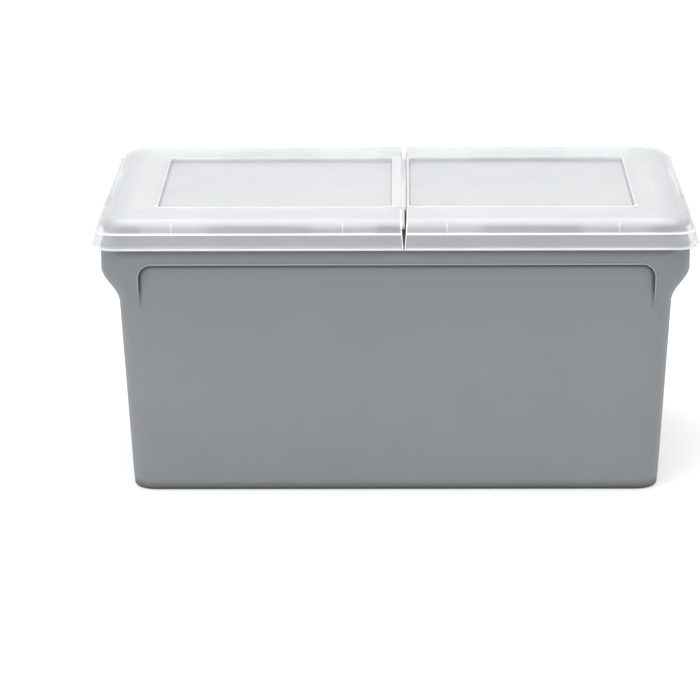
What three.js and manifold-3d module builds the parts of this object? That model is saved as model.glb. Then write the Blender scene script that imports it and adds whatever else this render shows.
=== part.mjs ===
// Pet food bin: one moulded tub with a two-winged lid, hinged on the tub's short ends.
// Millimetres, +Z up, length along X, front towards -Y, origin on the floor under the middle.
import * as THREE from "three";
import Module from "manifold-3d";

const wasm = await Module();
wasm.setup();

// Driving dimensions of the whole bin.
const LENGTH = 579.1;
const DEPTH = 349.0;
const HEIGHT = 273.05;
const HALF_L = LENGTH / 2;
const HALF_D = DEPTH / 2;
const CORNER_STEPS = 7;

// Tub wall: straight tapered wall below, flaring out to an upright collar under the lid.
const WALL = 2.4;
const FLOOR = 3.0;
const COLLAR_L = 282.0;
const COLLAR_D = 167.0;
const COLLAR_R = 28.0;
const COLLAR_TOP = 246.0;
const COLLAR_FOOT = 222.0;
const COVE_FOOT = 187.0;
const COVE_STEPS = 8;
const COVE_POWER = 1.15;
const BASE_L = 255.2;
const BASE_D = 152.0;
const BASE_R = 22.0;
const BASE_EDGE = 4.5;
const DRAFT = 0.0535;
const CAVITY_R = 24.0;

// Flat panel sunk into the flare on the front and the back.
const PANEL_X = [-244.5, 247.0];
const PANEL_TOP = 229.2;
const PANEL_FOOT = 183.0;
const PANEL_R = 12.0;
const PANEL_PROUD = 0.2;

// Upright rim inside the lid, cut into a row of tabs.
const RIM_INSET = 3.0;
const RIM_L = COLLAR_L - RIM_INSET;
const RIM_D = COLLAR_D - RIM_INSET;
const RIM_R = COLLAR_R - RIM_INSET;
const RIM_TOP = 258.0;
const TAB_EDGE = 264.4;
const TAB_TOP = 266.9;
const TAB_BEVEL = 1.8;
const TAB_SLOPE = 5.0;
const SIDE_GAPS = [[-241, -179], [-79.5, -19], [6, 79.5], [179, 241]];
const END_GAPS = [[-104, -46], [46, 104]];

// Lid: a shallow tray upside down, 2 mm thick, with a sunk panel in each wing.
const LID_T = 2.0;
const LIP_Z = 245.6;
const LIP_R = 23.0;
const LIP_H = 2.7;
const BAND_INSET = 2.7;
const SHOULDER_Z = 261.4;
const CREASE_INSET = 18.4;
const CREASE_R = 12.0;
const SLOPE_STEPS = 5;
const SLOPE_BULGE = 1.6;
const RECESS_DEPTH = 5.0;
const RECESS_RUN = 1.5;
const RECESS_R = 6.0;
const RECESS_D = 108.5;
const RECESS_LEFT = [-229.5, -3.0];
const RECESS_RIGHT = [13.4, 231.5];

// Gap where the two wings meet, a little right of the middle: a V, nearly shut at the lip.
const LEFT_EDGE_TOP = 5.6;
const LEFT_EDGE_LOW = 8.2;
const RIGHT_EDGE_TOP = 11.3;
const RIGHT_EDGE_LOW = 9.0;

// Tongue of the left wing that closes the gap between the panels, and its ledge in front.
const TONGUE_X = 10.6;
const TONGUE_FRONT = -119.0;
const TONGUE_BACK = 103.0;
const TONGUE_DROP = 0.7;
const LEDGE_X = 9.2;
const LEDGE_FRONT = -165.5;
const LEDGE_FOOT = 263.0;

// Short flange under the free edge of each wing.
const FLANGE_T = 1.6;
const FLANGE_FOOT = 263.6;
const FLANGE_TAB_TOP = 269.4;

// Ribs inside the lid wall that sit in the gaps between the tabs.
const RIB_T = 1.6;
const RIB_X = [49.5, 212.5];
const RIB_FACE_D = 164.7;
const RIB_FOOT = 259.5;

// Snap hinge at each end: a bar between two lugs on the tub, three clips on the wing.
const HINGE_X = 286.0;
const HINGE_Z = 243.0;
const BAR_R = 1.8;
const LUG_R = 3.2;
const LUG_IN = 46.0;
const LUG_OUT = 52.0;
const CLIP_R = 3.35;
const CLIP_BORE = 2.15;
const CLIP_W = 18.0;
const CLIP_Y = [-30, 0, 30];
const CLIP_MOUTH = 3.2;
const CLIP_WEB_TOP = 250.0;
const LUG_NOTCH_TOP = 248.6;
const LUG_NOTCH_GAP = 1.2;

// A solid from a stack of rings that all have the same number of points and are convex.
function stack(rings) {
  const n = rings[0].length;
  const vertices = rings.flat(2);
  const faces = [];
  for (let k = 0; k + 1 < rings.length; k++) {
    for (let i = 0; i < n; i++) {
      const j = (i + 1) % n;
      const a = k * n + i;
      const b = k * n + j;
      faces.push(a, b, b + n, a, b + n, a + n);
    }
  }
  const top = (rings.length - 1) * n;
  for (let i = 1; i + 1 < n; i++) {
    faces.push(0, i + 1, i);
    faces.push(top, top + i, top + i + 1);
  }
  const mesh = new wasm.Mesh({
    numProp: 3,
    vertProperties: new Float32Array(vertices),
    triVerts: new Uint32Array(faces),
  });
  return new wasm.Manifold(mesh);
}

// A rounded rectangle at height z, anticlockwise from above.
function roundedRing(x0, x1, y0, y1, r, z) {
  const corners = [
    [x1 - r, y0 + r, -Math.PI / 2],
    [x1 - r, y1 - r, 0],
    [x0 + r, y1 - r, Math.PI / 2],
    [x0 + r, y0 + r, Math.PI],
  ];
  const ring = [];
  for (const [cx, cy, start] of corners) {
    for (let i = 0; i <= CORNER_STEPS; i++) {
      const t = start + (i / CORNER_STEPS) * (Math.PI / 2);
      ring.push([cx + r * Math.cos(t), cy + r * Math.sin(t), z]);
    }
  }
  return ring;
}

const centredRing = (l, d, r, z) => roundedRing(-l, l, -d, d, r, z);

function box(x0, x1, y0, y1, z0, z1) {
  const ring = (z) => [[x0, y0, z], [x1, y0, z], [x1, y1, z], [x0, y1, z]];
  return stack([ring(z0), ring(z1)]);
}

// A convex outline given as (x, z) points, anticlockwise from the front, swept along Y.
function sweepY(outline, y0, y1) {
  const ring = (y) => outline.map(([x, z]) => [x, y, z]);
  return stack([ring(y1), ring(y0)]);
}

// A convex outline given as (y, z) points, anticlockwise from the +X end, swept along X.
function sweepX(outline, x0, x1) {
  const ring = (x) => outline.map(([y, z]) => [x, y, z]);
  return stack([ring(x0), ring(x1)]);
}

function rodY(x, z, r, y0, y1, steps = 20) {
  const outline = [];
  for (let i = 0; i < steps; i++) {
    const t = (i / steps) * 2 * Math.PI;
    outline.push([x + r * Math.cos(t), z + r * Math.sin(t)]);
  }
  return sweepY(outline, y0, y1);
}

const mix = (a, b, t) => a + (b - a) * t;
const ease = (t) => t * t * (3 - 2 * t);

// Share of the flare that the wall has reached at height z: slow at first, then steep.
function flareAt(z) {
  const t = Math.min(1, Math.max(0, (z - COVE_FOOT) / (COLLAR_FOOT - COVE_FOOT)));
  return ease(t ** COVE_POWER);
}

function coveHeights() {
  const heights = [];
  for (let i = 0; i <= COVE_STEPS; i++) {
    heights.push(mix(COVE_FOOT, COLLAR_FOOT, i / COVE_STEPS));
  }
  return heights;
}

function tubOuter() {
  const rings = [];
  rings.push(centredRing(BASE_L - BASE_EDGE, BASE_D - BASE_EDGE, BASE_R - BASE_EDGE, 0));
  rings.push(centredRing(BASE_L - BASE_EDGE * 0.3, BASE_D - BASE_EDGE * 0.3, BASE_R - 1.3, 1.3));
  for (const z of [BASE_EDGE, ...coveHeights()]) {
    const f = flareAt(z);
    const l = mix(BASE_L + DRAFT * z, COLLAR_L, f);
    const d = mix(BASE_D + DRAFT * z, COLLAR_D, f);
    rings.push(centredRing(l, d, mix(BASE_R + 0.02 * z, COLLAR_R, f), z));
  }
  rings.push(centredRing(COLLAR_L, COLLAR_D, COLLAR_R, COLLAR_TOP - 1.2));
  rings.push(centredRing(COLLAR_L - 1.2, COLLAR_D - 1.2, COLLAR_R - 1.2, COLLAR_TOP));
  return stack(rings);
}

function tubRim() {
  return stack([
    centredRing(RIM_L, RIM_D, RIM_R, COLLAR_TOP - 6),
    centredRing(RIM_L, RIM_D, RIM_R, TAB_EDGE),
    centredRing(RIM_L - TAB_BEVEL, RIM_D - TAB_BEVEL, RIM_R - TAB_BEVEL, TAB_TOP),
  ]);
}

function tubCavity() {
  const mouthL = RIM_L - WALL;
  const mouthD = RIM_D - WALL;
  const rings = [centredRing(BASE_L - 7, BASE_D - 7, BASE_R - 7, FLOOR)];
  for (const z of [FLOOR + 4, ...coveHeights()]) {
    const f = flareAt(z);
    const l = mix(BASE_L + DRAFT * z - WALL, mouthL, f);
    const d = mix(BASE_D + DRAFT * z - WALL, mouthD, f);
    rings.push(centredRing(l, d, mix(BASE_R - WALL + 0.02 * z, RIM_R - WALL, f), z));
  }
  rings.push(centredRing(mouthL, mouthD, RIM_R - WALL, HEIGHT));
  return stack(rings);
}

// Everything outside the straight tapered wall, inside the outline of the sunk panel.
function panelCut(side) {
  const [x0, x1] = PANEL_X;
  const zc = PANEL_TOP - PANEL_R;
  const outline = [[x0, PANEL_FOOT], [x1, PANEL_FOOT]];
  for (const [xc, start] of [[x1 - PANEL_R, 0], [x0 + PANEL_R, Math.PI / 2]]) {
    for (let i = 0; i <= CORNER_STEPS; i++) {
      const t = start + (i / CORNER_STEPS) * (Math.PI / 2);
      outline.push([xc + PANEL_R * Math.cos(t), zc + PANEL_R * Math.sin(t)]);
    }
  }
  const plane = (z) => side * (BASE_D + DRAFT * z + PANEL_PROUD);
  const onWall = outline.map(([x, z]) => [x, plane(z), z]);
  const outside = outline.map(([x, z]) => [x, side * (HALF_D + 5), z]);
  return side < 0 ? stack([onWall, outside]) : stack([outside, onWall]);
}

// Gaps between the tabs: wider at the top, cut right across the bin.
function gapOutline(from, to) {
  const rise = HEIGHT - RIM_TOP;
  const spread = (TAB_SLOPE * rise) / (TAB_TOP - RIM_TOP);
  return [[from, RIM_TOP], [to, RIM_TOP], [to + spread, HEIGHT], [from - spread, HEIGHT]];
}

function rimGaps() {
  return [
    ...SIDE_GAPS.map(([from, to]) => sweepY(gapOutline(from, to), -HALF_D, HALF_D)),
    ...END_GAPS.map(([from, to]) => sweepX(gapOutline(from, to), -HALF_L, HALF_L)),
  ];
}

// Outline of a hinge lug: a flat arm out of the collar with a half-round nose.
function lugOutline(side) {
  const inside = side * (COLLAR_L - 1);
  const outline = [];
  for (let i = 0; i <= 10; i++) {
    const t = mix(-Math.PI / 2, Math.PI / 2, i / 10);
    outline.push([side * HINGE_X + side * LUG_R * Math.cos(t), HINGE_Z + LUG_R * Math.sin(t)]);
  }
  outline.push([inside, HINGE_Z + LUG_R], [inside, HINGE_Z - LUG_R]);
  return side > 0 ? outline : outline.reverse();
}

// Two lugs with the hinge bar between them, at one end of the tub.
function hingeBar(side) {
  const pieces = [rodY(side * HINGE_X, HINGE_Z, BAR_R, -LUG_IN - 2, LUG_IN + 2)];
  for (const [y0, y1] of [[-LUG_OUT, -LUG_IN], [LUG_IN, LUG_OUT]]) {
    pieces.push(sweepY(lugOutline(side), y0, y1));
  }
  return pieces;
}

const joined = (pieces) => pieces.reduce((sum, piece) => sum.add(piece));

function tub() {
  let body = tubOuter().subtract(panelCut(-1)).subtract(panelCut(1));
  body = joined([body, tubRim()]);
  body = body.subtract(tubCavity());
  for (const cut of rimGaps()) body = body.subtract(cut);
  return joined([body, ...hingeBar(-1), ...hingeBar(1)]);
}

// The lid's outline grown inwards by t all round, t = 0 for the outer skin.
function lidSkin(t) {
  const ring = (inset, r, z) =>
    centredRing(HALF_L - inset - t, HALF_D - inset - t, Math.max(r - t, 4), z);
  const rings = [];
  if (t > 0) rings.push(ring(0, LIP_R, LIP_Z - 5));
  rings.push(ring(0, LIP_R, LIP_Z));
  rings.push(ring(0.5, LIP_R - 0.5, LIP_Z + LIP_H));
  rings.push(ring(BAND_INSET - 0.4, LIP_R - 2, LIP_Z + LIP_H + 1.8));
  rings.push(ring(BAND_INSET, LIP_R - BAND_INSET, SHOULDER_Z - t * 0.5));
  for (let i = 1; i <= SLOPE_STEPS; i++) {
    const s = i / SLOPE_STEPS;
    const bulge = SLOPE_BULGE * Math.sin(Math.PI * s);
    const inset = mix(BAND_INSET, CREASE_INSET, s) - bulge * 0.6;
    const z = mix(SHOULDER_Z, HEIGHT, s) + bulge * 0.7;
    rings.push(ring(inset, mix(LIP_R - BAND_INSET, CREASE_R, s), z - t * mix(0.5, 1, s)));
  }
  return stack(rings);
}

// The sunk panel of one wing as a solid to take away, grown by t for its underside.
function recess(x0, x1, t) {
  const run = RECESS_RUN;
  const ring = (grow, z) =>
    roundedRing(x0 - grow, x1 + grow, -RECESS_D - grow, RECESS_D + grow, RECESS_R + grow, z);
  const floor = HEIGHT - RECESS_DEPTH - t;
  return stack([ring(t - run, floor), ring(t, HEIGHT - t), ring(t, HEIGHT + 5)]);
}

const recesses = (t) => [recess(...RECESS_LEFT, t), recess(...RECESS_RIGHT, t)];

function lidShell() {
  let inside = lidSkin(LID_T);
  for (const cut of recesses(LID_T)) inside = inside.subtract(cut);
  let shell = lidSkin(0);
  for (const cut of recesses(0)) shell = shell.subtract(cut);
  return { shell: shell.subtract(inside), skin: lidSkin(0.4) };
}

// The space that the left wing's tongue and ledge fill, below the outer skin.
function tongueRegion() {
  const tongue = box(0, TONGUE_X, TONGUE_FRONT, TONGUE_BACK, LEDGE_FOOT, HEIGHT);
  const ledge = box(0, LEDGE_X, LEDGE_FRONT, TONGUE_FRONT + 1, LEDGE_FOOT, HEIGHT);
  return tongue.add(ledge).intersect(lidSkin(TONGUE_DROP));
}

// Everything on one wing's side of the gap, up to its slanted edge.
function wingRegion(side) {
  const far = side * (HALF_L + 5);
  const low = side < 0 ? LEFT_EDGE_LOW : RIGHT_EDGE_LOW;
  const top = side < 0 ? LEFT_EDGE_TOP : RIGHT_EDGE_TOP;
  const outline = [[far, LIP_Z - 1], [low, LIP_Z - 1], [top, HEIGHT + 1], [far, HEIGHT + 1]];
  const region = sweepY(side < 0 ? outline : outline.reverse(), -HALF_D - 5, HALF_D + 5);
  return side < 0 ? region.add(tongueRegion()) : region;
}

// Flange under the free edge, clear of the rim's tabs, and the ribs behind the walls.
function stiffeners(skin, side) {
  const edge = side < 0 ? LEFT_EDGE_TOP - FLANGE_T : RIGHT_EDGE_TOP;
  const flange = box(edge, edge + FLANGE_T, -HALF_D, HALF_D, FLANGE_FOOT, HEIGHT);
  const middle = box(
    edge - 1, edge + FLANGE_T + 1, TONGUE_FRONT - 3, TONGUE_BACK + 3, FLANGE_FOOT - 1, HEIGHT + 1,
  );
  const tabRoom = box(
    edge - 1, edge + FLANGE_T + 1, -RIM_D - 1, RIM_D + 1, FLANGE_FOOT - 1, FLANGE_TAB_TOP,
  );
  const pieces = [flange.subtract(middle).subtract(tabRoom)];
  for (const x of RIB_X) {
    for (const [y0, y1] of [[-HALF_D, -RIB_FACE_D], [RIB_FACE_D, HALF_D]]) {
      const at = side * x;
      pieces.push(box(at - RIB_T / 2, at + RIB_T / 2, y0, y1, RIB_FOOT, HEIGHT));
    }
  }
  return pieces.map((piece) => piece.intersect(skin));
}

// Clips that snap over the hinge bar, joined to the lip by a short web.
function clips(side) {
  const x = side * HINGE_X;
  const pieces = [];
  for (const y of CLIP_Y) {
    const y0 = y - CLIP_W / 2;
    const y1 = y + CLIP_W / 2;
    const webIn = x + side * 0.9;
    const webOut = x + side * (CLIP_R - 0.1);
    const web = box(
      Math.min(webIn, webOut), Math.max(webIn, webOut), y0, y1, HINGE_Z, CLIP_WEB_TOP,
    );
    const mouthEnd = x - side * (CLIP_R + 1);
    const mouth = box(
      Math.min(x, mouthEnd), Math.max(x, mouthEnd), y0 - 1, y1 + 1,
      HINGE_Z - CLIP_MOUTH / 2, HINGE_Z + CLIP_MOUTH / 2,
    );
    const bore = rodY(x, HINGE_Z, CLIP_BORE, y0 - 1, y1 + 1);
    const ring = rodY(x, HINGE_Z, CLIP_R, y0, y1).add(web);
    pieces.push(ring.subtract(bore).subtract(mouth));
  }
  return pieces;
}

// Notches in the lip that let the tub's hinge lugs through.
function lugNotches(side) {
  const far = side * (HALF_L + 1);
  const near = side * (COLLAR_L - 2);
  const cuts = [];
  for (const s of [-1, 1]) {
    const y0 = s * (LUG_IN - LUG_NOTCH_GAP);
    const y1 = s * (LUG_OUT + LUG_NOTCH_GAP);
    cuts.push(box(
      Math.min(near, far), Math.max(near, far), Math.min(y0, y1), Math.max(y0, y1),
      LIP_Z - 5, LUG_NOTCH_TOP,
    ));
  }
  return cuts;
}

function wing(side) {
  const { shell, skin } = lidShell();
  let body = joined([shell, ...stiffeners(skin, side)]);
  body = body.intersect(wingRegion(side));
  for (const cut of lugNotches(side)) body = body.subtract(cut);
  return joined([body, ...clips(side)]);
}

function meshOf(name, solid, look) {
  const { numProp, vertProperties, triVerts } = solid.getMesh();
  const count = vertProperties.length / numProp;
  const positions = new Float32Array(count * 3);
  for (let i = 0; i < count; i++) {
    positions.set(vertProperties.subarray(i * numProp, i * numProp + 3), i * 3);
  }
  const geometry = new THREE.BufferGeometry();
  geometry.setAttribute("position", new THREE.BufferAttribute(positions, 3));
  geometry.setIndex(new THREE.BufferAttribute(new Uint32Array(triVerts), 1));
  const mesh = new THREE.Mesh(geometry, look);
  mesh.name = name;
  return mesh;
}

const greyPlastic = () => new THREE.MeshStandardMaterial({ color: "#8d9194", roughness: 0.55 });
const milkyPlastic = () =>
  new THREE.MeshStandardMaterial({
    color: "#e6eaeb", roughness: 0.4, transparent: true, opacity: 0.6,
  });

const bin = new THREE.Group();
bin.name = "pet_food_bin";
bin.add(meshOf("tub", tub(), greyPlastic()));
bin.add(meshOf("left_lid_wing", wing(-1), milkyPlastic()));
bin.add(meshOf("right_lid_wing", wing(1), milkyPlastic()));

export default bin;
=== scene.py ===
"""Looks for the pet food bin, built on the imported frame.

Sizes below are millimetres. Only the camera and the lights are placed in metres.
"""

import math

import bmesh
import bpy
from mathutils import Matrix, Vector


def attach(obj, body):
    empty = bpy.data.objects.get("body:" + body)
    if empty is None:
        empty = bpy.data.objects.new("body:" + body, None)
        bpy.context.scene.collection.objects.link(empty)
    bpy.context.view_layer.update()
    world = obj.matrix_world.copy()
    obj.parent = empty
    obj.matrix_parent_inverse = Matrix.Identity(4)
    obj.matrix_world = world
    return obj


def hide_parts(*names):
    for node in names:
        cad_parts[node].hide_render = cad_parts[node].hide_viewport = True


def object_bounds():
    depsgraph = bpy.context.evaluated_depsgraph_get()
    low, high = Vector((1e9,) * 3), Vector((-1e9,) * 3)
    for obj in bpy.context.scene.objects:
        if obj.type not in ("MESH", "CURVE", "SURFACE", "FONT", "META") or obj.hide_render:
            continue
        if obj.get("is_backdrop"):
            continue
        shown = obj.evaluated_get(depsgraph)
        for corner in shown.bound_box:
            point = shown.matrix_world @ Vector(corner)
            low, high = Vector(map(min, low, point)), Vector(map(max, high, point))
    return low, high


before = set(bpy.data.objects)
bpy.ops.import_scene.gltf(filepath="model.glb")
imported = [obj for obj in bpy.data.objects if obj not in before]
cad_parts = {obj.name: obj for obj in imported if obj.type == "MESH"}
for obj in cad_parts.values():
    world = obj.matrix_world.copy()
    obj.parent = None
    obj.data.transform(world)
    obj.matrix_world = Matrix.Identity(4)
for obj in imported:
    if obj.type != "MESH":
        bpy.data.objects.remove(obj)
CAD_LOW, CAD_HIGH = (tuple(corner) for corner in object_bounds())
MM = 0.001

# The whole bin, from the frame.
HALF_L = CAD_HIGH[0] / MM
HALF_D = CAD_HIGH[1] / MM
TOP = CAD_HIGH[2] / MM

# Tub wall, as in the frame.
WALL = 2.4
FLOOR = 3.0
BASE_L, BASE_D, BASE_R = 255.2, 152.0, 22.0
BASE_EDGE = 4.5
FOOT_RING = ((30, 1.3), (27, 1.3), (26, 0.9), (25, 0.2), (24, 0.0), (10, 0.0))
FOOT_MIN_R = 9.0
DRAFT = 0.0535
CORNER_GROWTH = 0.02
FLOOR_FILLET, FLOOR_R, FLOOR_MIN_R, FLOOR_INSET = 5, 19.0, 8.0, 24
COVE_FOOT, COLLAR_FOOT, COLLAR_TOP = 187.0, 222.0, 246.0
COVE_POWER = 1.15
COLLAR_L, COLLAR_D, COLLAR_R = 282.0, 167.0, 28.0
COLLAR_EDGE = 1.2

# Panel sunk into the flare, front and back.
PANEL_X, PANEL_TOP, PANEL_R = (-244.5, 247.0), 229.2, 12.0
PANEL_PROUD = 0.2
PANEL_SOFT = 0.9

# Rim inside the lid and its tabs.
RIM_INSET = 3.0
RIM_L, RIM_D, RIM_R = COLLAR_L - RIM_INSET, COLLAR_D - RIM_INSET, COLLAR_R - RIM_INSET
RIM_LOW, TAB_TOP = 258.0, 266.9
TAB_SLOPE = 5.0
TAB_BEVEL, TAB_DROP = 1.8, 2.5
GAP_BEVEL = 0.6
SIDE_GAPS = ((-241.0, -179.0), (-79.5, -19.0), (6.0, 79.5), (179.0, 241.0))
END_GAPS = ((-104.0, -46.0), (46.0, 104.0))
SIDE_RUN = 252.0

# Lid.
LID_T = 2.0
LIP_Z, LIP_R, LID_MIN_R = 245.6, 23.0, 4
BAND_INSET = 2.7
SHOULDER_Z = 261.4
# Lip profiles, from the bottom up: inset, how much less the corner radius is, height above LIP_Z.
LIP_OUTSIDE = (
    (0.35, 0.4, 0), (0.0, 0, 0.4), (0.0, 0, 1.9), (0.25, 0, 2.5),
    (0.9, 1, 3.0), (1.6, 1.5, 3.5), (2.05, 2, 4.3), (2.15, 2, 5.6),
)
LIP_INSIDE = ((0.0, 0, -5), (0.0, 0, 1.9), (0.5, 0, 3.0), (1.5, 2, 4.3), (2.1, 2, 6.0))
CREASE_INSET, CREASE_R = 18.4, 12.0
SLOPE_BULGE = 1.6
RECESS_DEPTH, RECESS_RUN, RECESS_R = 5.0, 1.5, 6.0
RECESS_D = 108.5
RECESS_LEFT = (-229.5, -3.0)
RECESS_RIGHT = (13.4, 231.5)
GATE_X = 140.0
STRIP_X = (RECESS_LEFT[1] + RECESS_RIGHT[0]) / 2

# Where the two wings meet: slanted edges, and the left wing's tongue and front ledge.
EDGE_TOP = {-1: 5.6, 1: 11.3}
EDGE_LOW = {-1: 8.2, 1: 9.0}
TONGUE_X, TONGUE_FRONT, TONGUE_BACK = 10.6, -119.0, 103.0
SPLIT_X, SPLIT_SLOPE, SPLIT_FOOT = 8.5, 0.092, 0.4
TONGUE_DROP, TONGUE_R = 0.7, 3.0
LEDGE_X, LEDGE_FRONT, LEDGE_FOOT = 9.2, -165.5, 263.0
FLANGE_T, FLANGE_LOW = 1.6, 269.4
RIB_T, RIB_X, RIB_FACE_D, RIB_FOOT = 1.6, (49.5, 212.5), 164.7, 259.5

# Snap hinge at each end.
HINGE_X, HINGE_Z = 286.0, 243.0
BAR_R, LUG_R = 1.8, 3.2
LUG_IN, LUG_OUT = 46.0, 52.0
CLIP_R, CLIP_BORE, CLIP_W = 3.35, 2.15, 18.0
CLIP_Y = (-30.0, 0.0, 30.0)
CLIP_MOUTH, CLIP_WEB_TOP = 3.2, 250.0
LUG_NOTCH_TOP, LUG_NOTCH_GAP = 248.6, 1.2

# How finely the curves are cut: lengths in mm, then counts of steps.
STEP, FINE_STEP, MIN_STEP, PANEL_REACH = 3.0, 0.5, 0.25, 7
CORNER_STEPS, ROUND_STEPS, EDGE_STEPS = 24, 6, 4
LUG_STEPS, SLOPE_STEPS, LID_CORNER_STEPS, FLOOR_SIDES = 16, 14, 20, 48

# Face attribute that holds which way the inside of the lid faces. An inner face looks down
# and to the middle: how much the middle counts, and how well the face has to agree.
INWARD = "inward"
SIDEWAYS, INNER_FACING = 0.5, 0.2


def mix(a, b, t):
    return a + (b - a) * t


def ease(t):
    t = min(1.0, max(0.0, t))
    return t * t * (3 - 2 * t)


def spread(a, b, step):
    """Evenly spaced values from a to b, no further apart than step."""
    n = max(1, math.ceil(abs(b - a) / step))
    return [mix(a, b, i / n) for i in range(n + 1)]


# ---------------------------------------------------------------- mesh helpers


def new_object(name, verts_mm, faces):
    mesh = bpy.data.meshes.new(name)
    mesh.from_pydata([Vector(v) * MM for v in verts_mm], [], faces)
    mesh.validate()
    obj = bpy.data.objects.new(name, mesh)
    bpy.context.scene.collection.objects.link(obj)
    return obj


def loft(name, rings):
    """A closed body from a stack of rings with the same number of points."""
    n = len(rings[0])
    verts = [p for ring in rings for p in ring]
    faces = []
    for k in range(len(rings) - 1):
        for i in range(n):
            j = (i + 1) % n
            faces.append((k * n + i, k * n + j, (k + 1) * n + j, (k + 1) * n + i))
    faces.append(tuple(reversed(range(n))))
    last = (len(rings) - 1) * n
    faces.append(tuple(range(last, last + n)))
    return new_object(name, verts, faces)


def rounded_ring(x0, x1, y0, y1, r, z, steps=16):
    corners = (
        (x1 - r, y0 + r, -0.5),
        (x1 - r, y1 - r, 0.0),
        (x0 + r, y1 - r, 0.5),
        (x0 + r, y0 + r, 1.0),
    )
    ring = []
    for cx, cy, start in corners:
        for i in range(steps + 1):
            t = (start + 0.5 * i / steps) * math.pi
            ring.append((cx + r * math.cos(t), cy + r * math.sin(t), z))
    return ring


def box(name, x0, x1, y0, y1, z0, z1):
    x0, x1 = min(x0, x1), max(x0, x1)
    y0, y1 = min(y0, y1), max(y0, y1)
    rings = [[(x0, y0, z), (x1, y0, z), (x1, y1, z), (x0, y1, z)] for z in (z0, z1)]
    return loft(name, rings)


def sweep_y(name, outline, y0, y1):
    """A convex outline of (x, z) points, anticlockwise from the front, swept along Y."""
    return loft(name, [[(x, y, z) for x, z in outline] for y in (y1, y0)])


def rod_y(name, x, z, r, y0, y1, steps=40):
    angles = [2 * math.pi * i / steps for i in range(steps)]
    outline = [(x + r * math.cos(t), z + r * math.sin(t)) for t in angles]
    return sweep_y(name, outline, y0, y1)


def drop(obj):
    mesh = obj.data
    bpy.data.objects.remove(obj)
    bpy.data.meshes.remove(mesh)


def bake(obj):
    """Turns the object's modifiers into its mesh."""
    graph = bpy.context.evaluated_depsgraph_get()
    made = bpy.data.meshes.new_from_object(obj.evaluated_get(graph))
    old = obj.data
    obj.modifiers.clear()
    obj.data = made
    bpy.data.meshes.remove(old)


def combine(obj, tools, how):
    """Adds, takes away or keeps what is common with each tool, and drops the tools."""
    for tool in tools:
        cut = obj.modifiers.new("cut", "BOOLEAN")
        cut.operation = how
        cut.solver = "EXACT"
        cut.object = tool
        bake(obj)
        drop(tool)
    return obj


def soften(obj, width, angle=40, segments=2):
    """Rounds the edges that are sharper than the angle."""
    bevel = obj.modifiers.new("bevel", "BEVEL")
    bevel.width = width * MM
    bevel.segments = segments
    bevel.limit_method = "ANGLE"
    bevel.angle_limit = math.radians(angle)
    bevel.use_clamp_overlap = True
    bake(obj)


def shade(obj, angle=32):
    """Shades smoothly, apart from edges that are sharper than the angle."""
    obj.data.shade_smooth()
    obj.data.set_sharp_from_angle(angle=math.radians(angle))


# ---------------------------------------------------------------- tub


def places(end, step, fine_step, edges):
    """Places from -end to end, finer for a few millimetres on both sides of each edge."""
    found = set(spread(-end, end, step))
    for edge, before, after in edges:
        found |= set(spread(edge - before, edge + after, fine_step))
    found = sorted(p for p in found if -end <= p <= end)
    kept = [found[0]]
    for p in found[1:-1]:
        if p - kept[-1] > MIN_STEP and found[-1] - p > MIN_STEP:
            kept.append(p)
    return kept + [found[-1]]


def gap_edges(gaps):
    reach = TAB_SLOPE + 1
    return [(low, reach, 1) for low, high in gaps] + [(high, 1, reach) for low, high in gaps]


def all_stations():
    """(kind, value, x sign, y sign) all round the tub, anticlockwise from the front left."""
    panel_edges = [(x, PANEL_REACH, PANEL_REACH) for x in PANEL_X]
    side = places(SIDE_RUN, STEP, FINE_STEP, gap_edges(SIDE_GAPS) + panel_edges)
    end_half = RIM_D - RIM_R
    end = [y / end_half for y in places(end_half, STEP, FINE_STEP, gap_edges(END_GAPS))]
    turn = [i / CORNER_STEPS for i in range(1, CORNER_STEPS)]
    loop = [("side", x, 1, -1) for x in side]
    loop += [("corner", t, 1, -1) for t in turn]
    loop += [("end", y, 1, 1) for y in end]
    loop += [("corner", t, 1, 1) for t in turn[::-1]]
    loop += [("side", x, 1, 1) for x in side[::-1]]
    loop += [("corner", t, -1, 1) for t in turn]
    loop += [("end", y, -1, 1) for y in end[::-1]]
    loop += [("corner", t, -1, -1) for t in turn[::-1]]
    return loop


def on_ring(station, half_l, half_d, r):
    """Where a station lies on a rounded rectangle."""
    kind, value, sx, sy = station
    cx, cy = half_l - r, half_d - r
    if kind == "end":
        return sx * half_l, value * cy
    if kind == "side":
        over = max(0.0, abs(value) - cx)
        return value, sy * (cy + math.sqrt(max(0.0, r * r - over * over)))
    first = math.asin(min(1.0, max(0.0, SIDE_RUN - cx) / r))
    straight = max(0.0, cx - SIDE_RUN)
    along = value * (straight + r * (math.pi / 2 - first))
    if along < straight:
        return sx * (SIDE_RUN + along), sy * half_d
    t = first + (along - straight) / r
    return sx * (cx + r * math.sin(t)), sy * (cy + r * math.cos(t))


def tab_height(station):
    """Height of the rim's top edge at a station: low in the gaps, rounding up to the tabs."""
    kind, value = station[:2]
    if kind == "corner":
        return TAB_TOP
    gaps = SIDE_GAPS if kind == "side" else END_GAPS
    place = value if kind == "side" else value * (RIM_D - RIM_R)
    top = TAB_TOP
    for low, high in gaps:
        away = max(low - place, place - high) / TAB_SLOPE
        share = min(1.0, max(0.0, away))
        top = min(top, mix(RIM_LOW, TAB_TOP, math.sqrt(1 - (1 - share) ** 2)))
    return top


def flare_at(z):
    """Share of the flare that the wall has reached at height z: slow, then steep, then slow."""
    t = min(1.0, max(0.0, (z - COVE_FOOT) / (COLLAR_FOOT - COVE_FOOT)))
    return ease(t ** COVE_POWER)


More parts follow.
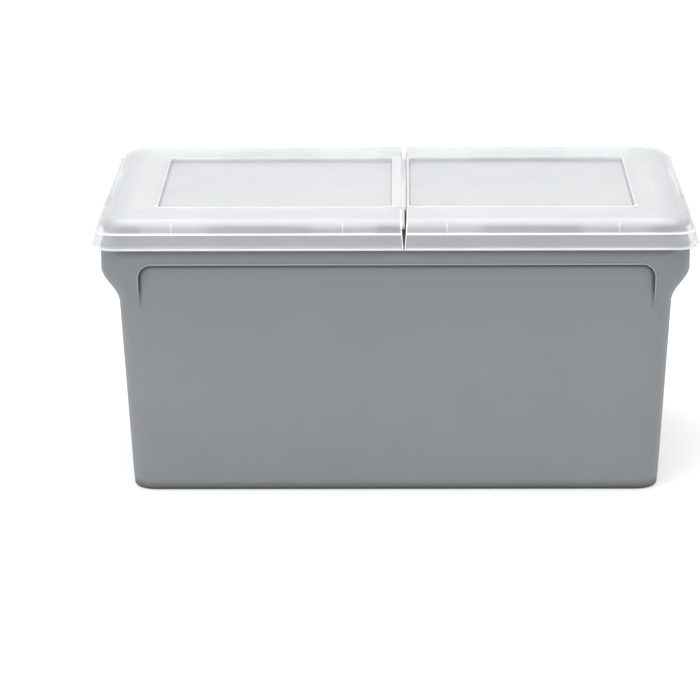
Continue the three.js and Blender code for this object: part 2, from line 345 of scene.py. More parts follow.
def panel_share(x, z):
    """1 inside the outline of the sunk panel, 0 outside, with a soft edge."""
    dx = max(PANEL_X[0] + PANEL_R - x, x - PANEL_X[1] + PANEL_R)
    dz = z - (PANEL_TOP - PANEL_R)
    outside = math.hypot(max(dx, 0.0), max(dz, 0.0)) + min(max(dx, dz), 0.0) - PANEL_R
    return ease(0.5 - outside / PANEL_SOFT)


def outer_levels():
    """(half length, half depth, corner radius, z) up the outside, from the foot ring."""
    levels = []
    for inset, z in FOOT_RING:
        levels.append((BASE_L - inset, BASE_D - inset, max(BASE_R - inset, FOOT_MIN_R), z))
    for i in range(ROUND_STEPS + 1):
        t = i / ROUND_STEPS * math.pi / 2
        inset = BASE_EDGE * (1 - math.sin(t))
        z = BASE_EDGE * (1 - math.cos(t))
        levels.append((BASE_L - inset, BASE_D - inset, BASE_R - inset, z))
    heights = spread(16, COVE_FOOT - 8, 18)
    heights += spread(COVE_FOOT - 4, PANEL_TOP - PANEL_R, 2.0)[:-1]
    heights += spread(PANEL_TOP - PANEL_R, PANEL_TOP - 2.4, 1.0)[:-1]
    heights += spread(PANEL_TOP - 2.4, PANEL_TOP + 1.2, 0.3)
    heights += [PANEL_TOP + 3, COLLAR_TOP - 6]
    for z in heights:
        share = flare_at(z)
        levels.append((
            mix(BASE_L + DRAFT * z, COLLAR_L, share),
            mix(BASE_D + DRAFT * z, COLLAR_D, share),
            mix(BASE_R + CORNER_GROWTH * z, COLLAR_R, share),
            z,
        ))
    for i in range(EDGE_STEPS + 1):
        t = i / EDGE_STEPS * math.pi / 2
        inset = COLLAR_EDGE * (1 - math.cos(t))
        z = COLLAR_TOP - COLLAR_EDGE * (1 - math.sin(t))
        levels.append((COLLAR_L - inset, COLLAR_D - inset, COLLAR_R - inset, z))
    return levels


def inner_levels():
    """Down the inside of the tub, from under the rim's mouth to the floor."""
    mouth_l, mouth_d, mouth_r = RIM_L - WALL, RIM_D - WALL, RIM_R - WALL
    levels = [(mouth_l, mouth_d, mouth_r, z) for z in (250, 236)]
    for z in spread(COLLAR_FOOT, COVE_FOOT, 3.0) + spread(COVE_FOOT - 10, 14, 20):
        share = flare_at(z)
        levels.append((
            mix(BASE_L + DRAFT * z - WALL, mouth_l, share),
            mix(BASE_D + DRAFT * z - WALL, mouth_d, share),
            mix(BASE_R - WALL + CORNER_GROWTH * z, mouth_r, share),
            z,
        ))
    low_l, low_d = BASE_L + 0.2 - WALL, BASE_D + 0.2 - WALL
    for i in range(1, ROUND_STEPS + 1):
        t = i / ROUND_STEPS * math.pi / 2
        inset = FLOOR_FILLET * (1 - math.cos(t))
        z = FLOOR + FLOOR_FILLET * (1 - math.sin(t))
        levels.append((low_l - inset, low_d - inset, FLOOR_R - inset, z))
    levels.append((low_l - FLOOR_INSET, low_d - FLOOR_INSET, FLOOR_MIN_R, FLOOR))
    return levels


def tub_column(station, outer, inner):
    """Points of one station from the underside, over the rim, to the floor inside."""
    points = []
    for half_l, half_d, r, z in outer:
        x, y = on_ring(station, half_l, half_d, r)
        if COVE_FOOT - 2 < z < PANEL_TOP + 2:
            plane = BASE_D + DRAFT * z + PANEL_PROUD
            sunk = math.copysign(min(abs(y), plane), y)
            y = mix(y, sunk, panel_share(x, z))
        points.append((x, y, z))
    top = tab_height(station)
    share = (top - RIM_LOW) / (TAB_TOP - RIM_LOW)
    bevel = mix(GAP_BEVEL, TAB_BEVEL, share)
    fall = mix(GAP_BEVEL, TAB_DROP, share)
    rim = (
        (-0.6, COLLAR_TOP),
        (-0.15, COLLAR_TOP + 0.15),
        (0.0, COLLAR_TOP + 0.6),
        (0.0, COLLAR_TOP + 5),
        (0.0, mix(COLLAR_TOP + 5, top - fall, 0.6)),
        (0.0, top - fall - 0.3),
        (0.12, top - fall + 0.1),
        (bevel - 0.25, top - 0.35),
        (bevel, top),
        (WALL - 0.3, top),
        (WALL, top - 0.35),
        (WALL, top - 2.5),
    )
    for inset, z in rim:
        x, y = on_ring(station, RIM_L - inset, RIM_D - inset, RIM_R - inset)
        points.append((x, y, z))
    for half_l, half_d, r, z in inner:
        x, y = on_ring(station, half_l, half_d, r)
        points.append((x, y, z))
    return points


def make_tub():
    outer, inner = outer_levels(), inner_levels()
    columns = [tub_column(station, outer, inner) for station in all_stations()]
    rings = [list(ring) for ring in zip(*columns)]
    return loft("tub_shell", rings)


def hinge_bar(side):
    """Two lugs with rounded noses and the bar between them, at one end of the tub."""
    x = side * HINGE_X
    inside = side * (COLLAR_L - 0.6)
    bar = rod_y("hinge_bar", x, HINGE_Z, BAR_R, -LUG_IN - 2, LUG_IN + 2)
    shade(bar)
    outline = []
    for i in range(LUG_STEPS + 1):
        t = mix(-0.5, 0.5, i / LUG_STEPS) * math.pi
        outline.append((x + side * LUG_R * math.cos(t), HINGE_Z + LUG_R * math.sin(t)))
    outline += [(inside, HINGE_Z + LUG_R), (inside, HINGE_Z - LUG_R)]
    outline = outline if side > 0 else outline[::-1]
    lugs = []
    for y0, y1 in ((-LUG_OUT, -LUG_IN), (LUG_IN, LUG_OUT)):
        lug = sweep_y("hinge_lug", outline, y0, y1)
        soften(lug, 0.5)
        shade(lug)
        lugs.append(lug)
    return [bar, *lugs]


# ---------------------------------------------------------------- lid


def lid_levels(t):
    """(inset, corner radius, z) up the lid's skin, t mm in from the outer one."""
    lip = LIP_INSIDE if t > 0 else LIP_OUTSIDE
    levels = [(inset, LIP_R - less, LIP_Z + up) for inset, less, up in lip]
    levels.append((BAND_INSET, LIP_R - BAND_INSET, SHOULDER_Z - 1.4 - 0.5 * t))
    levels.append((BAND_INSET + 0.15, LIP_R - BAND_INSET, SHOULDER_Z - 0.5 - 0.5 * t))
    for i in range(1, SLOPE_STEPS):
        levels.append(slope_level(i / SLOPE_STEPS, t))
    levels.append(slope_level(0.965, t))
    levels.append((CREASE_INSET + 0.6, CREASE_R, TOP - t))
    return levels


def slope_level(s, t):
    """One level of the slope, where s is 0 at the shoulder and 1 at the crease."""
    bulge = SLOPE_BULGE * math.sin(math.pi * s)
    inset = mix(BAND_INSET, CREASE_INSET, s) - 0.6 * bulge
    z = mix(SHOULDER_Z, TOP, s) + 0.7 * bulge - t * mix(0.5, 1.0, s)
    return inset, mix(LIP_R - BAND_INSET, CREASE_R, s), min(z, TOP - t)


def lid_skin(name, t):
    rings = []
    for inset, r, z in lid_levels(t):
        half_l, half_d = HALF_L - inset - t, HALF_D - inset - t
        corner_r = max(r - t, LID_MIN_R)
        rings.append(rounded_ring(-half_l, half_l, -half_d, half_d, corner_r, z, LID_CORNER_STEPS))
    return loft(name, rings)


def recess_tool(x0, x1, t):
    """Sunk panel to take away: rounded at the floor and flaring out at the opening."""
    floor = TOP - RECESS_DEPTH - t
    steps = (
        (t - RECESS_RUN - 0.9, floor),
        (t - RECESS_RUN - 0.3, floor + 0.15),
        (t - RECESS_RUN + 0.1, floor + 0.6),
        (t - 0.5, TOP - t - 1.0),
        (t - 0.1, TOP - t - 0.4),
        (t + 0.4, TOP - t - 0.08),
        (t + 1.0, TOP - t + 0.02),
        (t + 1.0, TOP + 5),
    )
    rings = [
        rounded_ring(x0 - g, x1 + g, -RECESS_D - g, RECESS_D + g, RECESS_R + g, z)
        for g, z in steps
    ]
    return loft("recess_tool", rings)


def recess_tools(t):
    return [recess_tool(*RECESS_LEFT, t), recess_tool(*RECESS_RIGHT, t)]


def tongue_region():
    """What the left wing's tongue and ledge may fill: below the outer skin, round at the back."""
    tongue = loft("tongue", [
        rounded_ring(-TONGUE_X, TONGUE_X, TONGUE_FRONT, TONGUE_BACK, TONGUE_R, z, 8)
        for z in (LEDGE_FOOT, TOP)
    ])
    ledge = box("ledge", 0, LEDGE_X, LEDGE_FRONT, TONGUE_FRONT + TONGUE_R, LEDGE_FOOT, TOP)
    combine(tongue, [ledge], "UNION")
    return combine(tongue, [lid_skin("skin", TONGUE_DROP)], "INTERSECT")


def wing_region(side):
    """The space one wing may fill, up to its slanted edge where the two meet."""
    far = side * (HALF_L + 5)
    outline = [(far, LIP_Z - 1), (EDGE_LOW[side], LIP_Z - 1), (EDGE_TOP[side], TOP + 1),
               (far, TOP + 1)]
    outline = outline if side < 0 else outline[::-1]
    region = sweep_y("region", outline, -HALF_D - 5, HALF_D + 5)
    return combine(region, [tongue_region()] if side < 0 else [], "UNION")


def wing_stiffeners(side):
    """Ribs behind the walls, and a flange under the free edge at the front and at the back."""
    start = EDGE_TOP[side] - FLANGE_T if side < 0 else EDGE_TOP[side]
    parts = []
    for low, high in ((-RIM_D - 1, TONGUE_FRONT - 3), (TONGUE_BACK + 3, RIM_D + 1)):
        parts.append(box("flange", start, start + FLANGE_T, low, high, FLANGE_LOW, TOP - 1))
    for x in RIB_X:
        for sign in (-1, 1):
            at = side * x
            parts.append(box("rib", at - RIB_T / 2, at + RIB_T / 2,
                             sign * RIB_FACE_D, sign * HALF_D, RIB_FOOT, TOP))
    joined = combine(parts[0], parts[1:], "UNION")
    return combine(joined, [lid_skin("skin", 0.5)], "INTERSECT")


def make_wing(side, name):
    inside = combine(lid_skin("inside", LID_T), recess_tools(LID_T), "DIFFERENCE")
    shell = combine(lid_skin(name, 0), recess_tools(0), "DIFFERENCE")
    shell = combine(shell, [inside], "DIFFERENCE")
    shell = combine(shell, [wing_stiffeners(side)], "UNION")
    shell = combine(shell, [wing_region(side)], "INTERSECT")
    notches = []
    for sign in (-1, 1):
        notches.append(box(
            "notch", side * (COLLAR_L - 2), side * (HALF_L + 1),
            sign * (LUG_IN - LUG_NOTCH_GAP), sign * (LUG_OUT + LUG_NOTCH_GAP),
            LIP_Z - 5, LUG_NOTCH_TOP,
        ))
    return combine(shell, notches, "DIFFERENCE")


def mark_inner(obj):
    """Stores on each face inside the lid the way it faces, and nothing on the other faces."""
    marks = obj.data.attributes.new(INWARD, "FLOAT_VECTOR", "FACE")
    for face in obj.data.polygons:
        to_middle = Vector((-face.center.x, -face.center.y, 0)).normalized()
        way = to_middle * SIDEWAYS - Vector((0, 0, 1))
        inner = face.normal.dot(way) > INNER_FACING and face.center.z > (LIP_Z + 0.5) * MM
        marks.data[face.index].vector = face.normal if inner else (0, 0, 0)


def hinge_clips(side):
    """Open clips that hold the hinge bar, each with a web up into the lip."""
    x = side * HINGE_X
    clips = []
    for y in CLIP_Y:
        y0, y1 = y - CLIP_W / 2, y + CLIP_W / 2
        clip = rod_y("hinge_clip", x, HINGE_Z, CLIP_R, y0, y1)
        web = box("web", x + side * 0.9, x + side * (CLIP_R - 0.1), y0, y1, HINGE_Z, CLIP_WEB_TOP)
        bore = rod_y("bore", x, HINGE_Z, CLIP_BORE, y0 - 1, y1 + 1)
        mouth = box("mouth", x, x - side * (CLIP_R + 1), y0 - 1, y1 + 1,
                    HINGE_Z - CLIP_MOUTH / 2, HINGE_Z + CLIP_MOUTH / 2)
        combine(clip, [web], "UNION")
        combine(clip, [bore, mouth], "DIFFERENCE")
        soften(clip, 0.25)
        shade(clip)
        clips.append(clip)
    return clips


# ---------------------------------------------------------------- materials

# Colours as display values from 0 to 255.
GREY_LOW, GREY_HIGH = (118, 122, 125), (122, 126, 129)
# Painted shade towards the top of the tub, where the flare and the lid shade it: its colour, the height
# it starts at and the height it grows over.
GREY_SHADED_TOP, TOP_SHADE_FROM, TOP_SHADE_RUN = (115, 119, 122), 130.0, 100.0
# Painted shade in creases and in the fold round the sunk panels, and a painted highlight on the panels'
# rounded edge.
GREY_CREASE_SHADE, GREY_FOLD_SHADE, GREY_LIP_HIGHLIGHT = (34, 38, 42), (46, 50, 54), (138, 142, 145)
# The lid's own cloudy colours, and the colour of its painted shade and of the gate mark.
MILK_LOW, MILK_HIGH, MILK_SHADE_AND_GATE_MARK = (230, 233, 235), (236, 239, 241), (58, 82, 112)

# Lid: how much it hides of what is behind it, and how much of its light passes through.
COVER, SLOPE_LESS_COVER, EDGE_MORE_COVER, WALL_COVER = 0.75, 0.27, 0.5, 0.85
THROUGH, EDGE_LESS_THROUGH = 0.5, 0.3

# How far, in mm, another surface reaches when shade is painted into a fold of the tub and onto the
# inside of the lid.
CREASE_SHADE_REACH, TUB_SHADE_REACH = 11, 8


class Nodes:
    """A small wrapper for building a node material."""

    def __init__(self, name):
        self.material = bpy.data.materials.new(name)
        self.material.use_nodes = True
        self.tree = self.material.node_tree
        self.shader = self.tree.nodes["Principled BSDF"]

    def add(self, kind, **values):
        node = self.tree.nodes.new(kind)
        for key, value in values.items():
            setattr(node, key, value)
        return node

    def link(self, a, b):
        self.tree.links.new(a, b)

    def set(self, socket, value):
        self.shader.inputs[socket].default_value = value


def srgb(r, g, b):
    """A colour given as 0 to 255 display values, as linear light."""
    linear = []
    for c in (r, g, b):
        c /= 255
        linear.append(c / 12.92 if c <= 0.04045 else ((c + 0.055) / 1.055) ** 2.4)
    return (*linear, 1.0)


def noise(n, scale, detail=2.0, rough=0.5):
    coords = n.add("ShaderNodeTexCoord")
    node = n.add("ShaderNodeTexNoise")
    node.inputs["Scale"].default_value = scale
    node.inputs["Detail"].default_value = detail
    node.inputs["Roughness"].default_value = rough
    n.link(coords.outputs["Object"], node.inputs["Vector"])
    return node


def spanned(n, factor, low, high):
    """Stretches the middle of a noise's values, 0.3 to 0.7, over low to high."""
    node = n.add("ShaderNodeMapRange")
    node.inputs["From Min"].default_value = 0.3
    node.inputs["From Max"].default_value = 0.7
    node.inputs["To Min"].default_value = low
    node.inputs["To Max"].default_value = high
    n.link(factor, node.inputs["Value"])
    return node.outputs["Result"]


def blended(n, factor, first, second):
    """The first colour where the factor is 0, the second where it is 1; sockets or colours."""
    node = n.add("ShaderNodeMix", data_type="RGBA")
    n.link(factor, node.inputs["Factor"])
    for name, colour in (("A", first), ("B", second)):
        if isinstance(colour, tuple):
            node.inputs[name].default_value = colour
        else:
            n.link(colour, node.inputs[name])
    return node.outputs["Result"]


def bump(n, height, strength, distance, normal=None):
    node = n.add("ShaderNodeBump")
    node.inputs["Strength"].default_value = strength
    node.inputs["Distance"].default_value = distance * MM
    n.link(height, node.inputs["Height"])
    if normal is not None:
        n.link(normal, node.inputs["Normal"])
    return node.outputs["Normal"]


def grey_plastic():
    """Satin grey polypropylene: fine moulded grain, faint flow mottling, painted shade in creases,
    towards the top and in the fold round the panels, and a painted highlight on the panels' edge.
    """
    n = Nodes("grey_polypropylene")
    mottle = noise(n, 14.0, 3.0, 0.6)
    grain = noise(n, 2600.0, 2.0, 0.6)
    waves = noise(n, 9.0, 1.0, 0.4)
    tone = spanned(n, mottle.outputs["Fac"], 0.0, 1.0)
    body = blended(n, tone, srgb(*GREY_LOW), srgb(*GREY_HIGH))
    # Painted shade: darker towards the top of the tub, where the flare and the lid shade it.
    z = place_mm(n)[2]
    height = calc(n, "DIVIDE", calc(n, "SUBTRACT", z, TOP_SHADE_FROM), TOP_SHADE_RUN, clamp=True)
    body = blended(n, height, body, srgb(*GREY_SHADED_TOP))
    # Painted shade: darker where another surface is near, in creases and under the lid.
    crease = n.add("ShaderNodeAmbientOcclusion", samples=8)
    crease.inputs["Distance"].default_value = CREASE_SHADE_REACH * MM
    body = blended(n, calc(n, "POWER", crease.outputs["AO"], 2.0), srgb(*GREY_CREASE_SHADE), body)
    # Painted highlight on the panels' rounded edge, and painted shade in the fold inside it.
    lip, fold = panel_edge_light_and_shade(n)
    colour = blended(n, fold, body, srgb(*GREY_FOLD_SHADE))
    colour = blended(n, lip, colour, srgb(*GREY_LIP_HIGHLIGHT))
    n.link(colour, n.shader.inputs["Base Color"])
    n.link(spanned(n, grain.outputs["Fac"], 0.44, 0.56), n.shader.inputs["Roughness"])
    surface = bump(n, waves.outputs["Fac"], 0.25, 0.25)
    n.link(bump(n, grain.outputs["Fac"], 0.25, 0.03, surface), n.shader.inputs["Normal"])
    n.set("IOR", 1.49)
    n.set("Specular IOR Level", 0.45)
    return n.material


def calc(n, operation, a, b=0.0, c=0.5, clamp=False):
    """One sum on sockets or plain numbers; only MULTIPLY_ADD uses the third."""
    node = n.add("ShaderNodeMath", operation=operation, use_clamp=clamp)
    for socket, value in zip(node.inputs, (a, b, c)):
        if isinstance(value, (int, float)):
            socket.default_value = value
        else:
            n.link(value, socket)
    return node.outputs["Value"]


def near(n, value, centre, reach, soft):
    """1 where a value in mm is within reach of the centre, falling to 0 over soft mm."""
    away = calc(n, "ABSOLUTE", calc(n, "SUBTRACT", value, centre))
    return calc(n, "DIVIDE", calc(n, "SUBTRACT", reach + soft, away), soft, clamp=True)


def recess_distance(n, x, y, x0, x1):
    """Distance in mm outside the outline of a sunk panel, less than 0 inside it."""
    half_l = (x1 - x0) / 2 - RECESS_R
    half_d = RECESS_D - RECESS_R
    qx = calc(n, "SUBTRACT", calc(n, "ABSOLUTE", calc(n, "SUBTRACT", x, (x0 + x1) / 2)), half_l)
    qy = calc(n, "SUBTRACT", calc(n, "ABSOLUTE", y), half_d)
    px = calc(n, "MAXIMUM", qx, 0.0)
    py = calc(n, "MAXIMUM", qy, 0.0)
    corner = length_of(n, px, py)
    inner = calc(n, "MINIMUM", calc(n, "MAXIMUM", qx, qy), 0.0)
    return calc(n, "SUBTRACT", calc(n, "ADD", corner, inner), RECESS_R)


def place_mm(n):
    """Place on the object at rest, in mm, as three sockets."""
    coords = n.add("ShaderNodeTexCoord")
    scale = n.add("ShaderNodeVectorMath", operation="SCALE")
    scale.inputs["Scale"].default_value = 1 / MM
    n.link(coords.outputs["Object"], scale.inputs[0])
    split = n.add("ShaderNodeSeparateXYZ")
    n.link(scale.outputs["Vector"], split.inputs[0])
    return split.outputs


def product(n, *factors):
    """The factors multiplied together."""
    total = factors[0]
    for factor in factors[1:]:
        total = calc(n, "MULTIPLY", total, factor)
    return total


def largest(n, *values):
    """The largest of the values."""
    total = values[0]
    for value in values[1:]:
        total = calc(n, "MAXIMUM", total, value)
    return total


def length_of(n, a, b):
    """Length of the vector (a, b)."""
    return calc(n, "SQRT", calc(n, "ADD", calc(n, "MULTIPLY", a, a), calc(n, "MULTIPLY", b, b)))


def panel_edge_light_and_shade(n):
    """Where a highlight is painted on the rounded edge round the sunk panels, and where shade is
    painted in the fold inside it.
    """
    x, y, z = place_mm(n)
    middle = (PANEL_X[0] + PANEL_X[1]) / 2
    half = (PANEL_X[1] - PANEL_X[0]) / 2 - PANEL_R
    qx = calc(n, "SUBTRACT", calc(n, "ABSOLUTE", calc(n, "SUBTRACT", x, middle)), half)
    qx = calc(n, "MAXIMUM", qx, 0.0)
    qz = calc(n, "MAXIMUM", calc(n, "SUBTRACT", z, PANEL_TOP - PANEL_R), 0.0)
    away = length_of(n, qx, qz)
    flat = calc(n, "GREATER_THAN", calc(n, "ABSOLUTE", y), BASE_D)
    fade = calc(n, "DIVIDE", calc(n, "SUBTRACT", z, COVE_FOOT - 4), 22.0, clamp=True)
    shown = calc(n, "MULTIPLY", flat, fade)
    lip = calc(n, "MULTIPLY", near(n, away, PANEL_R + 1.1, 0.5, 0.5), shown)
    fold = calc(n, "MULTIPLY", near(n, away, PANEL_R - 0.4, 0.5, 3.0), shown)
    return lip, calc(n, "MULTIPLY", fold, 0.85)


def rib_lines(n, x, y, z):
    """Where a rib is joined to the inside of the slope."""
    away = calc(n, "ABSOLUTE", x)
    lines = largest(n, *[near(n, away, at, 0.5, 0.5) for at in RIB_X])
    below_top = calc(n, "LESS_THAN", z, TOP - 3.5)
    above_foot = calc(n, "GREATER_THAN", z, RIB_FOOT)
    on_face = calc(n, "GREATER_THAN", calc(n, "ABSOLUTE", y), RIB_FACE_D - 25)
    return product(n, lines, below_top, on_face, above_foot)


def recess_highlights(n, y, z, recess):
    """Where highlights are painted: along the front edges of the sunk panels, and along the edges at
    their sides.
    """
    at_top = near(n, z, TOP, 1.0, 0.6)
    front = calc(n, "LESS_THAN", y, -RECESS_D + RECESS_R)
    sides = calc(n, "LESS_THAN", calc(n, "ABSOLUTE", y), RECESS_D - 1)
    front_highlight = product(n, near(n, recess, 1.2, 1.0, 0.6), at_top, front)
    side_highlight = product(n, near(n, recess, 0.3, 0.2, 0.5), at_top, sides)
    return front_highlight, side_highlight


def split_highlight(n, x, y, z):
    """Where a highlight is painted along the edges of the wings at the front of the split, which widens
    upwards.
    """
    half_gap = calc(n, "MULTIPLY_ADD", calc(n, "SUBTRACT", z, LIP_Z), SPLIT_SLOPE, SPLIT_FOOT)
    away = calc(n, "ABSOLUTE", calc(n, "SUBTRACT", x, SPLIT_X))
    line = near(n, calc(n, "SUBTRACT", away, half_gap), 0.1, 0.4, 0.5)
    return calc(n, "MULTIPLY", line, calc(n, "LESS_THAN", y, TONGUE_FRONT))


def middle_strip(n, x, y, z):
    """The strip between the sunk panels, where the tongue doubles the lid."""
    across = near(n, x, STRIP_X, 7.0, 1.2)
    return product(n, across, near(n, z, TOP, 1.0, 0.5), near(n, y, 0.0, RECESS_D, 4.0))


def highlights_and_thick_parts(n, x, y, z, recess):
    """Where the lid is painted whiter: painted highlights along its edges, and the thicker moulding at
    the ribs and the middle strip.
    """
    front_highlight, side_highlight = recess_highlights(n, y, z, recess)
    # Painted highlights on the shoulder, the lip, the panels' front edges, the split and the panels'
    # sides; the ribs and the middle strip are whiter because the moulding is thicker there.
    marks = (
        (near(n, z, SHOULDER_Z - 0.4, 0.5, 0.7), 1.0),
        (near(n, z, LIP_Z + 1.2, 0.7, 0.6), 0.6),
        (front_highlight, 1.0),
        (split_highlight(n, x, y, z), 1.0),
        (rib_lines(n, x, y, z), 0.3),
        (side_highlight, 0.35),
        (middle_strip(n, x, y, z), 0.18),
    )
    return largest(n, *[calc(n, "MULTIPLY", mask, weight) for mask, weight in marks])


def recess_wall(n, y, z, recess):
    """The steep front and back walls of the sunk panels, where shade is painted in and the lid covers
    more.
    """
    on_wall = near(n, recess, 0.9, 1.6, 0.4)
    below_edge = calc(n, "SUBTRACT", TOP - 2.2, z, clamp=True)
    front_or_back = calc(n, "GREATER_THAN", calc(n, "ABSOLUTE", y), RECESS_D - 2)
    return product(n, on_wall, below_edge, front_or_back, near(n, y, 0, RECESS_D + 3, 1))


def shade_from_tub_behind(n, z):
    """Painted shade on the inner faces of the lid by how near the tub is behind them, less in the
    upright band.
    """
    inward = n.add("ShaderNodeAttribute", attribute_name=INWARD).outputs["Vector"]
    is_inner = n.add("ShaderNodeVectorMath", operation="LENGTH")
    n.link(inward, is_inner.inputs[0])
    turned = n.add("ShaderNodeVectorTransform", vector_type="NORMAL",
                   convert_from="OBJECT", convert_to="WORLD")
    n.link(inward, turned.inputs[0])
    open_space = n.add("ShaderNodeAmbientOcclusion", samples=4)
    open_space.inputs["Distance"].default_value = TUB_SHADE_REACH * MM
    n.link(turned.outputs[0], open_space.inputs["Normal"])
    touched = calc(n, "MULTIPLY", calc(n, "SUBTRACT", 0.85, open_space.outputs["AO"]), 1.5)
    tub_shade = calc(n, "MULTIPLY", is_inner.outputs["Value"], calc(n, "MAXIMUM", touched, 0.0),
                  clamp=True)
    upright = calc(n, "MULTIPLY", calc(n, "LESS_THAN", z, SHOULDER_Z - 1.0), 0.9)
    return calc(n, "MULTIPLY", tub_shade, calc(n, "SUBTRACT", 1.0, upright))


def gate_mark(n, x, y):
    """The small scar in the middle of each sunk panel where the mould was filled."""
    along = calc(n, "SUBTRACT", calc(n, "ABSOLUTE", x), GATE_X)
    return near(n, length_of(n, along, y), 0.0, 1.2, 1.2)


def ends_and_back(n, x, y):
    """The borders at both ends and at the back, which get less light."""
    past_x = calc(n, "SUBTRACT", calc(n, "ABSOLUTE", x), HALF_L - 38)
    past_y = calc(n, "SUBTRACT", y, HALF_D - 26)
    return calc(n, "DIVIDE", calc(n, "MAXIMUM", past_x, past_y), 14.0, clamp=True)


def milky_plastic():
    """Natural translucent polypropylene: faintly cloudy, glossy, whiter where it is thick, with painted
    highlights on its edges and painted shade in the sunk panels, at the borders and where the tub is
    close behind.
    """
    n = Nodes("milky_polypropylene")
    cloud = noise(n, 22.0, 3.0, 0.55)
    grain = noise(n, 900.0, 2.0, 0.5)
    waves = noise(n, 9.0, 1.0, 0.4)
    x, y, z = place_mm(n)
    recess = calc(
        n, "MINIMUM",
        recess_distance(n, x, y, *RECESS_LEFT),
        recess_distance(n, x, y, *RECESS_RIGHT),
    )
    edges = highlights_and_thick_parts(n, x, y, z, recess)
    wall = recess_wall(n, y, z, recess)
    tone = spanned(n, cloud.outputs["Fac"], 0.0, 1.0)
    body = blended(n, tone, srgb(*MILK_LOW), srgb(*MILK_HIGH))
    # Whiter at the painted highlights and at the thicker parts.
    whiter = blended(n, edges, body, (1.0, 1.0, 1.0, 1.0))
    # Painted shade on the sunk panels' walls and floors, on inner faces with the tub close behind, and
    # at the borders with less light; the gate mark is the mould's own scar.
    shades_and_gate_mark = (
        (wall, 0.5),
        (shade_from_tub_behind(n, z), 1.0),
        (gate_mark(n, x, y), 0.2),
        (ends_and_back(n, x, y), 0.12),
        (calc(n, "LESS_THAN", recess, -1.5), 0.07),
    )
    shade_and_mark_by = largest(n, *[calc(n, "MULTIPLY", mask, weight) for mask, weight in shades_and_gate_mark])
    colour = blended(n, shade_and_mark_by, whiter, srgb(*MILK_SHADE_AND_GATE_MARK))
    n.link(colour, n.shader.inputs["Base Color"])
    n.link(lid_cover(n, z, recess, edges, wall), n.shader.inputs["Alpha"])
    through = calc(n, "MULTIPLY_ADD", edges, -EDGE_LESS_THROUGH, THROUGH)
    n.link(through, n.shader.inputs["Transmission Weight"])
    n.link(spanned(n, grain.outputs["Fac"], 0.52, 0.58), n.shader.inputs["Roughness"])
    n.set("Coat Weight", 1.0)
    n.set("Coat Roughness", 0.12)
    n.link(bump(n, waves.outputs["Fac"], 0.06, 0.3), n.shader.inputs["Normal"])
    n.set("IOR", 1.3)
    return n.material


def lid_cover(n, z, recess, edges, wall):
    """Alpha of the lid: lowest on the slopes, where the tub shows best, highest at the painted
    highlights and the thick parts.
    """
    sloped = calc(n, "DIVIDE", calc(n, "SUBTRACT", TOP - 1.5, z), 6.0, clamp=True)
    sloped = calc(n, "MULTIPLY", sloped, calc(n, "GREATER_THAN", recess, 3.0))
    cover = calc(n, "SUBTRACT", COVER, calc(n, "MULTIPLY", sloped, SLOPE_LESS_COVER))
    cover = calc(n, "ADD", cover, calc(n, "MULTIPLY", edges, EDGE_MORE_COVER))
    return calc(n, "MAXIMUM", cover, calc(n, "MULTIPLY", wall, WALL_COVER), clamp=True)


def paint(obj, material):
    obj.data.materials.clear()
    obj.data.materials.append(material)


# ---------------------------------------------------------------- stage

FLOOR_REACH, FLOOR_GLOW, SKY_STRENGTH = 60000, 0.45, 1.08


def look_from(place, pitch, yaw, roll, lens):
    """Camera at a place in metres, pitched down, turned and rolled by radians."""
    forward = Vector((math.sin(yaw) * math.cos(pitch), math.cos(yaw) * math.cos(pitch),
                      -math.sin(pitch)))
    right = Vector((math.cos(yaw), -math.sin(yaw), 0))
    up = right.cross(forward)
    turned_right = right * math.cos(roll) + up * math.sin(roll)
    turned_up = up * math.cos(roll) - right * math.sin(roll)
    data = bpy.data.cameras.new("camera")
    data.sensor_width = 36
    data.lens = lens
    data.clip_end = 60
    camera = bpy.data.objects.new("camera", data)
    axes = Matrix((turned_right, turned_up, -forward)).transposed()
    camera.matrix_world = Matrix.Translation(place) @ axes.to_4x4()
    bpy.context.scene.collection.objects.link(camera)
    bpy.context.scene.camera = camera


def area_light(name, place, target, size, power):
    data = bpy.data.lights.new(name, "AREA")
    data.shape = "RECTANGLE"
    data.size, data.size_y = size
    data.energy = power
    light = bpy.data.objects.new(name, data)
    light.location = place
    light.rotation_euler = (Vector(target) - Vector(place)).to_track_quat("-Z", "Y").to_euler()
    bpy.context.scene.collection.objects.link(light)


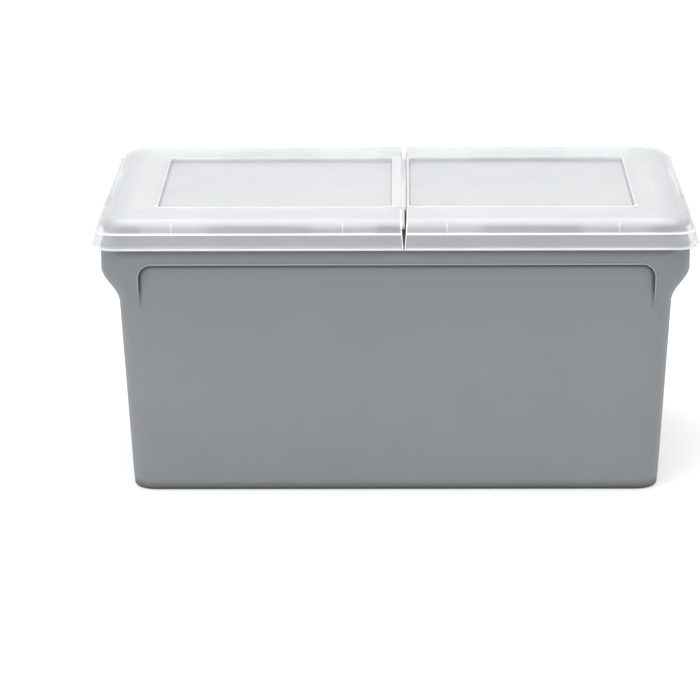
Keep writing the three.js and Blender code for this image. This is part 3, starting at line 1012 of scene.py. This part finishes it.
def studio():
    """A floor that gives off some light, an even white sky, a soft box above, a strip at front left."""
    ring = []
    for i in range(FLOOR_SIDES):
        t = i * math.pi / (FLOOR_SIDES // 2)
        ring.append((FLOOR_REACH * math.cos(t), FLOOR_REACH * math.sin(t), 0))
    floor = new_object("floor", ring, [tuple(range(FLOOR_SIDES))])
    n = Nodes("floor")
    soft = noise(n, 2.0)
    tone = spanned(n, soft.outputs["Fac"], 0.0, 1.0)
    pale = blended(n, tone, (0.54, 0.54, 0.54, 1), (0.56, 0.56, 0.56, 1))
    n.link(pale, n.shader.inputs["Base Color"])
    n.set("Roughness", 0.9)
    n.set("Specular IOR Level", 0.1)
    n.set("Emission Color", (1, 1, 1, 1))
    n.set("Emission Strength", FLOOR_GLOW)
    floor.data.materials.append(n.material)
    floor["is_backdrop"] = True
    world = bpy.data.worlds.new("studio")
    world.use_nodes = True
    background = world.node_tree.nodes["Background"]
    background.inputs["Color"].default_value = (1, 1, 1, 1)
    background.inputs["Strength"].default_value = SKY_STRENGTH
    bpy.context.scene.world = world
    area_light("soft_top", (-0.2, 0.1, 2.4), (0, 0, 0.15), (2.6, 1.8), 34)
    area_light("strip_front", (-1.1, -2.0, 2.1), (0, 0, 0.2), (2.0, 0.3), 17)
    bpy.context.scene.view_settings.view_transform = "Standard"


look_from((0.00771, -3.33315, 1.04698), 0.2772, -0.0161, -0.0061, 176.9)
studio()

grey = grey_plastic()
milky = milky_plastic()

tub_shell = make_tub()
shade(tub_shell)
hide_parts("tub")
tub_pieces = [tub_shell]
for side, word in ((-1, "left"), (1, "right")):
    for piece in hinge_bar(side):
        piece.name = word + "_" + piece.name.replace(".", "_")
        tub_pieces.append(piece)
for piece in tub_pieces:
    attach(piece, "tub_body")
    paint(piece, grey)

for side, word in ((-1, "left"), (1, "right")):
    wing = make_wing(side, word + "_wing_shell")
    soften(wing, 0.35)
    shade(wing)
    mark_inner(wing)
    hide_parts(word + "_lid_wing")
    wing_pieces = [wing]
    for piece in hinge_clips(side):
        piece.name = word + "_" + piece.name.replace(".", "_")
        wing_pieces.append(piece)
    for piece in wing_pieces:
        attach(piece, word + "_wing")
        paint(piece, milky)
